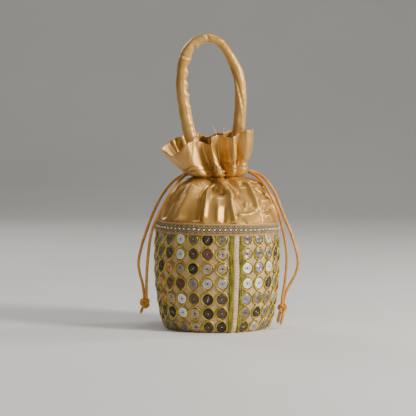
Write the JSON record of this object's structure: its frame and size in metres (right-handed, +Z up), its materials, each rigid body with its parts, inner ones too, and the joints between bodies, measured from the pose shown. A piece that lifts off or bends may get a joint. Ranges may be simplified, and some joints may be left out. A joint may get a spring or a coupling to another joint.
{
  "type": "potli bag",
  "caption": "Round potli pouch with mirror-work sides, a gathered gold satin crown, two knotted drawstrings and a stuffed carry loop.",
  "frame": {"origin": "centre of the pouch's round base, on the surface it stands on", "axes": "+Z up, -Y is the front, +X is the right side seen from the front"},
  "size_m": [0.162, 0.125, 0.2938],
  "materials": {
    "body_cloth": "ribbed silk",
    "board": "plain",
    "lining": "plain cotton",
    "satin": "gold satin",
    "cord": "satin rat-tail cord",
    "lace": "woven lace braid",
    "piping": "twisted piping",
    "seam_cloth": "puckered silk",
    "zari": "metallic gold thread",
    "mirror": "foil mirror disc"
  },
  "bodies": {
    "root": {"body_shell": "body_cloth", "base_board": "board", "lining": "lining", "crown": "satin", "casing_front": "satin", "casing_back": "satin", "drawstring_left_channel": "cord", "drawstring_right_channel": "cord", "handle": "satin", "trim_band": "lace", "trim_piping_top": "piping", "trim_piping_bottom": "piping", "seam_strip": "seam_cloth", "seam_band_left": "zari", "seam_band_right": "zari", "drawstring_left_outer": "cord", "drawstring_left_inner": "cord", "drawstring_right_outer": "cord", "drawstring_right_inner": "cord", "knot_left": "cord", "knot_right": "cord", "knot_left_tail": "cord", "knot_right_tail_a": "cord", "knot_right_tail_b": "cord", "mirror_column_01": "mirror", "mirror_column_02": "mirror", "mirror_column_03": "mirror", "mirror_column_04": "mirror", "mirror_column_05": "mirror", "mirror_column_06": "mirror", "mirror_column_07": "mirror", "mirror_column_08": "mirror", "mirror_column_09": "mirror", "mirror_column_10": "mirror", "mirror_column_11": "mirror", "mirror_column_12": "mirror", "mirror_column_13": "mirror", "mirror_column_14": "mirror", "mirror_column_15": "mirror", "mirror_column_16": "mirror", "mirror_column_17": "mirror", "mirror_column_18": "mirror", "mirror_column_19": "mirror", "mirror_column_20": "mirror", "mirror_column_21": "mirror", "mirror_column_22": "mirror", "mirror_column_23": "mirror", "mirror_column_24": "mirror", "mirror_column_25": "mirror", "mirror_column_26": "mirror"}
  },
  "joints": []
}
